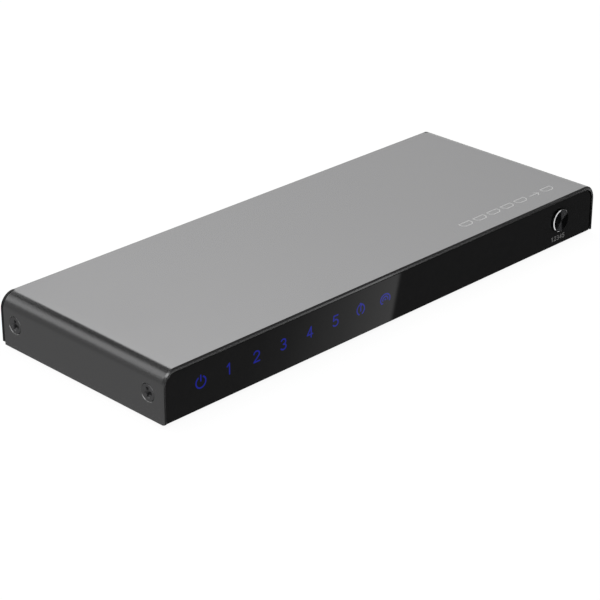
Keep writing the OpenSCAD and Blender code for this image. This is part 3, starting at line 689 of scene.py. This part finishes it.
def screw_hole(side, end):
    """Patch round one screw hole: from a square in the outside to the sink's edge, down its cone, and
    out again to the square in the inside. Each ring has a point for each point of the square."""
    step = np.linspace(-1, 1, PATCH_CELLS + 1)[:-1]
    low, high = np.full_like(step, -1), np.full_like(step, 1)
    square = np.stack([
        np.concatenate([step, high, -step, low]), np.concatenate([low, step, high, -step]),
    ], axis=-1)
    circle = square / np.linalg.norm(square, axis=1, keepdims=True)
    square = square * HOLE_PATCH
    foot_r = SINK_R - COVER_T
    mix = np.array([0, 0.4, 0.75])[:, None, None]
    half_edge = SINK_EDGE / 2
    rings = np.concatenate([
        square + mix * (circle * SINK_R - square),
        circle * np.array([SINK_R + half_edge, SINK_R - half_edge, foot_r])[:, None, None],
        (square + mix * (circle * foot_r - square))[::-1],
    ])
    depth = np.array([0, 0, 0, 0, SINK_EDGE, COVER_T, COVER_T, COVER_T, COVER_T])[:, None]
    x = np.broadcast_to(side * (half_w - depth), rings.shape[:2])
    points = np.stack([x, end * screw_y + rings[..., 0], SCREW_Z + rings[..., 1]], axis=-1)
    return points.reshape(-1, 3), grid_quads(len(rings), rings.shape[1])


cover_satin = grained(
    "cover_satin", dark=COVER_DARK, light=COVER_PALE, rough=(0.23, 0.26),
    grain=0.18 * MM, cloud=30 * MM, bump=0.0006 * MM, metallic=1.0,
)
holes = [screw_hole(side, end) for side in (-1, 1) for end in (-1, 1)]
add_piece("bent_cover", joined(cover_sheet(), *holes), cover_satin, "cover_paint", "housing", "top_cover")

# Source mark: a row of five socket outlines, an arrow and one socket outline, printed on the cover's top.
# The ink is a thin, pale silver one, laid through a screen.
OUTLINE_W = 5.0 * MM
OUTLINE_PITCH = 7.0 * MM
PRINT_STROKE = 0.35 * MM
PRINT_LIFT = 0.004 * MM
PRINT_END = 13.1 * MM
PRINT_INSET = 8.5 * MM
PRINT_DARK = (0.60, 0.60, 0.60)
PRINT_PALE = (0.68, 0.68, 0.68)
SOCKET_OUTLINE = lines(
    (-0.5, 0.24), (0.5, 0.24), (0.5, -0.04), (0.3, -0.24), (-0.3, -0.24), (-0.5, -0.04), (-0.5, 0.24)
)
ARROW = lines((-0.45, 0), (0.45, 0)) + lines((0.2, 0.22), (0.45, 0), (0.2, -0.22))

print_signs = [SOCKET_OUTLINE] * (len(SOCKETS) - 1) + [ARROW, SOCKET_OUTLINE]
print_x = half_w - PRINT_END - OUTLINE_W / 2 - OUTLINE_PITCH * np.arange(len(print_signs))[::-1]
printed = joined(*(
    sign_surface(sign, (x, front_y + PRINT_INSET), OUTLINE_W, PRINT_STROKE, 0.0, PRINT_LIFT)
    for x, sign in zip(print_x, print_signs)
))
laid_flat = printed[0][:, [0, 2, 1]] * (1, 1, -1) + (0, 0, cover_high.z)
print_ink = grained(
    "print_ink", dark=PRINT_DARK, light=PRINT_PALE, rough=(0.26, 0.32),
    grain=0.15 * MM, cloud=1 * MM, bump=0.0005 * MM, metallic=1.0,
)
add_piece("source_mark", (laid_flat, printed[1]), print_ink, "cover_paint", "housing")

# Cover screws: four countersunk steel screws with a cross recess, plated a dull grey.
# They hold the cover's ends to the case and sit just below the cover's face.
SCREW_R = 1.5 * MM
HEAD_R = 2.75 * MM
HEAD_SINK = 0.06 * MM
HEAD_EDGE = 0.12 * MM
HEAD_SOFT = 0.05 * MM
SCREW_L = 5.0 * MM
CROSS_ARM = 1.75 * MM
CROSS_HALF = 0.58 * MM
CROSS_DEPTH = 1.5 * MM
CROSS_SOFT = 0.04 * MM
CROSS_TIP = 0.15 * MM
FLOOR_ARM = 0.45 * CROSS_ARM
FLOOR_HALF = 0.6 * CROSS_HALF
SCREW_TURN = np.radians(6)


def cross_ring(arm, half, count=7):
    """Outline of a cross as a radius for each angle: up to the arm's end, arm over the cosine; from
    there to the inner corner, the half width over the sine. Eight like parts make the round."""
    corner = np.arctan2(half, arm)
    fold = np.concatenate([np.linspace(0, corner, count)[:-1], np.linspace(corner, np.pi / 4, count)[:-1]])
    rise = np.where(fold < corner, arm / np.cos(fold), half / np.maximum(np.sin(fold), 1e-9))
    fold = np.concatenate([fold, np.pi / 2 - np.append(fold, np.pi / 4)[:0:-1]])
    rise = np.concatenate([rise, np.append(rise, half / np.sin(np.pi / 4))[:0:-1]])
    angle = (np.arange(4)[:, None] * np.pi / 2 + fold).reshape(-1)
    return angle, np.tile(rise, 4)


def screw_surface(side, end):
    """Rings along the screw, from the shank's tip to the head's rim, then the cross outline at the
    face and at the recess's floor, and its centre."""
    angle, cross = cross_ring(CROSS_ARM, CROSS_HALF)
    bottom = cross_ring(FLOOR_ARM, FLOOR_HALF)[1]
    ring = np.ones_like(angle)
    neck = HEAD_R - SCREW_R
    radius = np.stack([
        0 * ring, SCREW_R * ring, SCREW_R * ring, HEAD_R * ring, (HEAD_R - HEAD_SOFT) * ring,
        (HEAD_R - HEAD_EDGE) * ring, cross + CROSS_SOFT, cross, bottom, 0 * ring,
    ])
    depth = np.array([
        SCREW_L, SCREW_L, neck + HEAD_EDGE, HEAD_SINK + HEAD_EDGE, HEAD_SINK + CROSS_SOFT,
        HEAD_SINK, HEAD_SINK, HEAD_SINK + CROSS_SOFT, CROSS_DEPTH, CROSS_DEPTH + CROSS_TIP,
    ])[:, None]
    tilt = angle + SCREW_TURN * end
    x = np.broadcast_to(side * (half_w - depth), radius.shape)
    points = np.stack([x, end * screw_y + radius * np.cos(tilt), SCREW_Z + radius * np.sin(tilt)], axis=-1)
    return points.reshape(-1, 3), grid_quads(len(radius), len(angle))


dull_plate = grained(
    "screw_plating", dark=(0.27, 0.27, 0.275), light=(0.33, 0.33, 0.335), rough=(0.28, 0.4),
    grain=0.12 * MM, cloud=1 * MM, bump=0.001 * MM, metallic=1.0,
)
screws = [screw_surface(side, end) for side in (-1, 1) for end in (-1, 1)]
add_piece("cover_screw_set", joined(*screws), dull_plate, "dark_screw", "housing", "cover_screws")

# Studio: a sweep of white paper under and all round the box, lower at the front right and the back left,
# below a dim ceiling. One large soft lamp hangs overhead, and a smaller one stands at the back left.
SWEEP_R = 2.4
SWEEP_CURVE = 0.35
SWEEP_FLOOR = (0.0, 0.3, 1.0)
SWEEP_ROWS = 6
SWEEP_SIGHT = 46.0
SWEEP_DIPS = ((325.0, 48.0, 24.0, 4), (128.0, 22.0, 30.0, 2))
SWEEP_WHITE = (0.2, 0.2, 0.2)
# Painted shade and painted light on the paper's glow: its level by height, and a gain towards one side.
SWEEP_SHADES = ((0.0, 0.93), (0.12, 0.75), (0.38, 0.52), (0.56, 0.98), (1.0, 1.0))
SWEEP_FILL = 0.25
BRIGHT_TOWARDS = np.radians(75)
BRIGHT_START = 0.72 * SWEEP_R
BRIGHT_MOST = 1.2
CEILING_R = 1.6 * SWEEP_R
CEILING_GLOW = 0.05


def place_stage(name, surface, material, reflected_only=False):
    """Puts a surface in the studio. A card that is only reflected neither shows nor casts a shadow."""
    points, quads = surface
    mesh = bpy.data.meshes.new(name)
    mesh.from_pydata(points, [], quads.tolist())
    mesh.shade_smooth()
    mesh.materials.append(material)
    card = bpy.data.objects.new(name, mesh)
    bpy.context.scene.collection.objects.link(card)
    if reflected_only:
        card.visible_camera = False
        card.visible_diffuse = False
        card.visible_transmission = False
        card.visible_shadow = False
    return card


def card_paper(name, level):
    """Even grey card that glows at a level."""
    material = bpy.data.materials.new(name)
    material.use_nodes = True
    tree = material.node_tree
    tree.nodes.remove(tree.nodes["Principled BSDF"])
    glow = tree.nodes.new("ShaderNodeEmission")
    glow.inputs["Color"].default_value = (level, level, level, 1)
    tree.links.new(glow.outputs["Emission"], tree.nodes["Material Output"].inputs["Surface"])
    return material


def grey_ramp(tree, share, stops):
    """The colour of a ramp of greys, read at a share. Each stop is a place on the ramp and its level."""
    ramp = tree.nodes.new("ShaderNodeValToRGB")
    for extra in range(len(stops) - 2):
        ramp.color_ramp.elements.new(0.5)
    for element, (place, level) in zip(ramp.color_ramp.elements, stops):
        element.position = place
        element.color = (level, level, level, 1)
    tree.links.new(share, ramp.inputs["Fac"])
    return ramp.outputs["Color"]


def clear_behind(tree, surface):
    """Makes a paper show on its face alone, so that one looks through it from behind."""
    clear = tree.nodes.new("ShaderNodeBsdfTransparent")
    side = tree.nodes.new("ShaderNodeNewGeometry")
    both = tree.nodes.new("ShaderNodeMixShader")
    tree.links.new(side.outputs["Backfacing"], both.inputs["Fac"])
    tree.links.new(surface, both.inputs[1])
    tree.links.new(clear.outputs["BSDF"], both.inputs[2])
    tree.links.new(both.outputs["Shader"], tree.nodes["Material Output"].inputs["Surface"])


def sweep_paper():
    """White paper whose glow is painted light: painted shade that follows its height, and more painted
    light towards one side. It shows in full to the eye, in gloss and through clear pieces, and gives matt
    surfaces a weak fill. It is clear from behind."""
    material = bpy.data.materials.new("sweep_paper")
    material.use_nodes = True
    tree = material.node_tree
    shader = tree.nodes["Principled BSDF"]
    shader.inputs["Base Color"].default_value = (*SWEEP_WHITE, 1)
    shader.inputs["Roughness"].default_value = 1.0
    shader.inputs["Specular IOR Level"].default_value = 0.0
    shader.inputs["Emission Color"].default_value = (1, 1, 1, 1)
    ray = tree.nodes.new("ShaderNodeLightPath").outputs
    seen = combine(tree, "ShaderNodeMath", "MAXIMUM", ray["Is Camera Ray"], ray["Is Glossy Ray"])["Value"]
    shown = combine(tree, "ShaderNodeMath", "MAXIMUM", seen, ray["Is Transmission Ray"])["Value"]
    place = tree.nodes.new("ShaderNodeTexCoord").outputs["Object"]
    parts = tree.nodes.new("ShaderNodeSeparateXYZ")
    tree.links.new(place, parts.inputs["Vector"])
    height = mapped(tree, parts.outputs["Z"], 0, SWEEP_R, 0, 1)
    shade = grey_ramp(tree, height, SWEEP_SHADES)
    bright_side = (np.cos(BRIGHT_TOWARDS), np.sin(BRIGHT_TOWARDS), 0)
    towards = combine(tree, "ShaderNodeVectorMath", "DOT_PRODUCT", place, bright_side)["Value"]
    gain = mapped(tree, towards, BRIGHT_START, SWEEP_R, 1, BRIGHT_MOST)
    lit = combine(tree, "ShaderNodeMath", "MULTIPLY", shade, gain)["Value"]
    tree.links.new(mapped(tree, shown, 0, 1, SWEEP_FILL, lit), shader.inputs["Emission Strength"])
    clear_behind(tree, shader.outputs["BSDF"])
    return material


def sweep_surface():
    """A disc that turns up into a wall: rings of growing radius, a quarter round, then rings of growing
    height. The wall's top is an angle of sight, which dips towards two sides: each dip is its depth times
    e to the minus of the angle from its middle over its spread, raised to its power."""
    around = np.linspace(0, 360, 96, endpoint=False)
    sight = np.full_like(around, SWEEP_SIGHT)
    for middle, spread, dip, power in SWEEP_DIPS:
        away = (around - middle + 180) % 360 - 180
        sight -= dip * np.exp(-np.abs(away / spread) ** power)
    top = SWEEP_R * np.tan(np.radians(sight))
    around = np.radians(around)
    turn = np.linspace(0, np.pi / 2, 13)
    curve = SWEEP_R - SWEEP_CURVE + SWEEP_CURVE * np.sin(turn)
    rise = SWEEP_CURVE * (1 - np.cos(turn))
    flat = np.zeros(len(SWEEP_FLOOR))
    radius = np.concatenate([SWEEP_FLOOR, curve, [SWEEP_R] * SWEEP_ROWS])
    start = np.concatenate([flat, rise, [SWEEP_CURVE] * SWEEP_ROWS])[:, None]
    share = np.concatenate([flat, 0 * turn, np.linspace(0, 1, SWEEP_ROWS + 1)[1:]])[:, None]
    height = start + share * (top - SWEEP_CURVE)
    radius = np.broadcast_to(radius[:, None], height.shape)
    points = np.stack([radius * np.cos(around), radius * np.sin(around), height], axis=-1)
    return points.reshape(-1, 3), grid_quads(len(radius), len(around))[:, ::-1]


def ceiling_surface():
    """Upper half of a ball round the studio: rings whose radius is the cosine and whose height is the sine
    of their angle, times the ball's radius."""
    rise = np.radians(np.linspace(0, 90, 24))[:, None]
    around = np.linspace(0, 2 * np.pi, 64, endpoint=False)
    ring = CEILING_R * np.cos(rise)
    height = CEILING_R * np.sin(rise)
    points = np.stack(np.broadcast_arrays(ring * np.cos(around), ring * np.sin(around), height), axis=-1)
    return points.reshape(-1, 3), grid_quads(len(rise), len(around))


def soft_lamp(name, place, aim, size, level):
    """Rectangular lamp with an even face. Its power is its level times pi times its area."""
    lamp = bpy.data.lights.new(name, "AREA")
    lamp.shape = "RECTANGLE"
    lamp.size, lamp.size_y = size
    lamp.energy = level * np.pi * size[0] * size[1]
    stand = bpy.data.objects.new(name, lamp)
    stand.location = place
    stand.rotation_euler = (Vector(aim) - Vector(place)).to_track_quat("-Z", "Y").to_euler()
    bpy.context.scene.collection.objects.link(stand)


place_stage("paper_sweep", sweep_surface(), sweep_paper())
ceiling = place_stage("ceiling", ceiling_surface(), card_paper("ceiling_paint", CEILING_GLOW))
ceiling.visible_camera = False
soft_lamp("overhead_lamp", place=(0, 0.1, 2.0), aim=(0, 0, 0), size=(1.7, 1.7), level=1.5)
soft_lamp("strip_lamp", place=(-0.777, 0.936, 0.88), aim=(-0.1, 0, 0.015), size=(0.72, 0.62), level=0.42)
world = bpy.data.worlds.new("studio_world")
world.use_nodes = True
world.node_tree.nodes["Background"].inputs["Color"].default_value = (1, 1, 1, 1)
bpy.context.scene.world = world

# Grey cards round the box, which only show in its gloss. Some lie on the paper beside the ends and the rear
# and keep them dark. Others stand at the left, at the right and before the button. One hangs over the rear.
CARD_Z = 0.2 * MM
END_GREY = 0.18
END_GAP = 0.5 * MM
END_REACH = 0.32
END_SPAN = (-0.25, 0.45)
REAR_GAP = 2 * MM
REAR_REACH = 0.1
HOOD_GREY = 0.05
HOOD_Z = 0.218
HOOD_CORNERS = ((-0.042, 0.097), (0.091, 0.328), (-0.112, 0.328), (-0.112, 0.097))


def gloss_card(name, paper, *corners):
    """Places a card with four corners, which only shows in gloss."""
    place_stage(name, (np.array(corners, float), np.array([[0, 1, 2, 3]])), paper, reflected_only=True)


def level_card(name, paper, x, y, z):
    """Places a level card at a height, between two places along X and two along Y."""
    gloss_card(name, paper, (x[0], y[0], z), (x[1], y[0], z), (x[1], y[1], z), (x[0], y[1], z))


def standing_card(name, level, start, end, top):
    """Places an upright card that glows at a level, from one (x, y) place to another."""
    gloss_card(name, card_paper(name, level), (*start, 0), (*end, 0), (*end, top), (*start, top))


end_card = card_paper("end_card", END_GREY)
level_card("end_card_left", end_card, (-half_w - END_GAP, -half_w - END_REACH), END_SPAN, CARD_Z)
level_card("end_card_right", end_card, (half_w + END_GAP, half_w + END_REACH), END_SPAN, CARD_Z)
level_card("rear_card", end_card, (-half_w, half_w), (back_y + REAR_GAP, back_y + REAR_REACH), CARD_Z)
standing_card("back_left_card", level=0.14, start=(-0.29, 0.02), end=(-0.15, 0.19), top=0.085)
standing_card("front_left_card", level=0.10, start=(-0.24, -0.11), end=(-0.14, -0.24), top=0.12)
standing_card("right_card", level=0.05, start=(0.30, -0.10), end=(0.30, 0.06), top=0.12)
standing_card("button_dark_card", level=0.04, start=(0.080, -0.078), end=(0.118, -0.078), top=0.025)
gloss_card("hood_card", card_paper("hood_card", HOOD_GREY), *((x, y, HOOD_Z) for x, y in HOOD_CORNERS))

# Card in front of the panel, which shows in it: grey, paler towards a slanting line and dark beyond. White
# cards light the button's chamfer and face. One leans beside the button, and is clear from behind so that
# the panel doesn't show it. Dark strips keep the cover's front rim grey.
CARD_BACK = panel_low.y - 0.5 * MM
CARD_FRONT = -76.0 * MM
CARD_END = 200.5 * MM
FRONT_CARD_Z = 0.45 * MM
EDGE_START = (0.27 * MM, -39.75 * MM)
EDGE_SLOPE = -1.29
RAMP_REACH = 0.1
RAMP_STOPS = (
    (0.0, 0.05), (0.17, 0.06), (0.26, 0.12), (0.38, 0.33), (0.495, 0.62), (0.505, 0.035), (1.0, 0.03),
)
RIM_GREY = 0.12
RIM_DARK = 0.03
RIM_CARD_Z = 0.8 * MM
RIM_CARD_W = 4 * MM
RIM_NEAR = -60.8 * MM
RIM_FAR = RIM_NEAR - RIM_CARD_W
RIM_GAP = 1 * MM
RIM_END = half_w + 0.06
OUTER_RIM_END = 35.0 * MM
LEAN_FOOT = 79.0 * MM
LEAN_RISE = 17.0 * MM
LEAN_NEAR = -39.6 * MM
LEAN_FAR = -60.0 * MM
LEAN_WHITE = 0.95
BUTTON_WHITE = 0.9
BUTTON_CARD = (
    (0.0870, -0.0421, 0.0237), (0.0741, -0.0462, 0.0227),
    (0.0749, -0.0490, 0.0199), (0.0878, -0.0449, 0.0209),
)
BUTTON_FLOOR_Z = 1.2 * MM
BUTTON_FLOOR = ((0.118, -0.046), (0.30, -0.046), (0.30, -0.16), (0.232, -0.16))


def ramp_paper():
    """Grey that grows towards the slanting line and is dark beyond it. Across is the distance to the
    line along X: x less its start, less the slope times the distance to its start along Y."""
    material = card_paper("ramp_card", 1.0)
    tree = material.node_tree
    place = tree.nodes.new("ShaderNodeTexCoord").outputs["Object"]
    across = combine(tree, "ShaderNodeVectorMath", "DOT_PRODUCT", place, (1, -EDGE_SLOPE, 0))["Value"]
    line = EDGE_START[0] - EDGE_SLOPE * EDGE_START[1]
    share = mapped(tree, across, line - RAMP_REACH, line + RAMP_REACH, 0, 1)
    tree.links.new(grey_ramp(tree, share, RAMP_STOPS), tree.nodes["Emission"].inputs["Color"])
    return material


level_card("front_card", ramp_paper(), (-half_w, CARD_END), (CARD_BACK, CARD_FRONT), FRONT_CARD_Z)
rim_grey = card_paper("rim_card", RIM_GREY)
rim_dark = card_paper("right_rim_card", RIM_DARK)
level_card("rim_card", rim_grey, (-half_w, RIM_END), (RIM_NEAR, RIM_FAR), RIM_CARD_Z)
level_card("outer_rim_card", rim_grey, (-half_w, OUTER_RIM_END), (RIM_FAR, CARD_FRONT), RIM_CARD_Z)
level_card(
    "right_rim_card", rim_dark, (half_w + RIM_GAP, RIM_END), (front_y - RIM_GAP, CARD_FRONT), RIM_CARD_Z
)
lean_paper = card_paper("leaning_card", LEAN_WHITE)
clear_behind(lean_paper.node_tree, lean_paper.node_tree.nodes["Emission"].outputs["Emission"])
lean_head = LEAN_FOOT - LEAN_RISE
lean_top = CARD_Z + LEAN_RISE
gloss_card(
    "leaning_card", lean_paper, (LEAN_FOOT, LEAN_FAR, CARD_Z), (LEAN_FOOT, LEAN_NEAR, CARD_Z),
    (lean_head, LEAN_NEAR, lean_top), (lean_head, LEAN_FAR, lean_top),
)
button_white = card_paper("button_card", BUTTON_WHITE)
gloss_card("button_card", button_white, *BUTTON_CARD)
gloss_card("button_floor_card", button_white, *((x, y, BUTTON_FLOOR_Z) for x, y in BUTTON_FLOOR))

# Camera: a long lens from the front left, well above the box.
# Its place, aim and length make the box's edges lie as they do in the photograph.
CAMERA_AT = (-0.43806, -0.42989, 0.28966)
CAMERA_AIM = (-0.01274, -0.0058, 0.0012)
LENS_MM = 123.95
SENSOR_MM = 36.0
lens = bpy.data.cameras.new("camera")
lens.sensor_width = SENSOR_MM
lens.lens = LENS_MM
lens.clip_start = 10 * MM
camera = bpy.data.objects.new("camera", lens)
camera.location = CAMERA_AT
camera.rotation_euler = (Vector(CAMERA_AIM) - Vector(CAMERA_AT)).to_track_quat("-Z", "Y").to_euler()
bpy.context.scene.collection.objects.link(camera)
bpy.context.scene.camera = camera
bpy.context.scene.view_settings.view_transform = "Standard"
